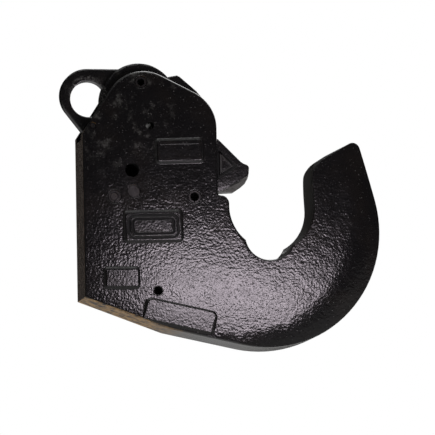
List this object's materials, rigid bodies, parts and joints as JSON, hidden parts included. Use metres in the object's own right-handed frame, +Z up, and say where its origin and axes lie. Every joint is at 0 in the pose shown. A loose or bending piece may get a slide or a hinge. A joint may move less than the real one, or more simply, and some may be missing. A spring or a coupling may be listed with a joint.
{
  "type": "weld-on lower link hook",
  "caption": "Weld-on claw hook for a tractor lower link: forged body with a ball seat, sliding self-closing latch and ring release lever.",
  "frame": {"origin": "middle of the flat weld face", "axes": "+X from the weld face towards the mouth of the claw, +Z up as in use, Y across the thickness with the marked face at -Y"},
  "size_m": [0.2118, 0.0327, 0.19],
  "materials": {
    "body_paint": "satin black paint over forge skin",
    "latch_paint": "satin black paint over forge skin",
    "lever_paint": "satin black paint over forge skin",
    "pin_paint": "satin black paint",
    "plug_paint": "satin black paint",
    "pin_core": "dull dark steel",
    "spring_steel": "oiled spring wire",
    "spigot_steel": "turned steel"
  },
  "bodies": {
    "hook": {"hook_body": "body_paint", "guide_pin_front": "pin_paint", "guide_pin_rear": "pin_paint", "guide_pin_rear_core": "pin_core", "lever_pivot_pin": "pin_paint", "lever_rest_pin": "pin_paint", "bore_plug_front": "plug_paint", "bore_plug_rear": "plug_paint", "latch_spring": "spring_steel", "spring_spigot": "spigot_steel"},
    "lever": {"release_lever": "lever_paint"},
    "latch": {"latch": "latch_paint"}
  },
  "joints": [
    {"name": "lever_swing", "type": "hinge", "parent": "hook", "child": "lever", "pos_m": [0.0397, 0, 0.0889], "axis": [0, 1, 0], "range_deg": [0, 24], "stiffness_Nm_per_rad": 0.8, "springref_deg": -34.38},
    {"name": "latch_slide", "type": "slide", "parent": "hook", "child": "latch", "axis": [-1, 0, 0], "range_m": [0, 0.022], "deforming": ["latch_spring"]}
  ],
  "couplings": [
    {"joint": "latch_slide", "follows": "lever_swing", "m_per_rad": 0.0525}
  ]
}
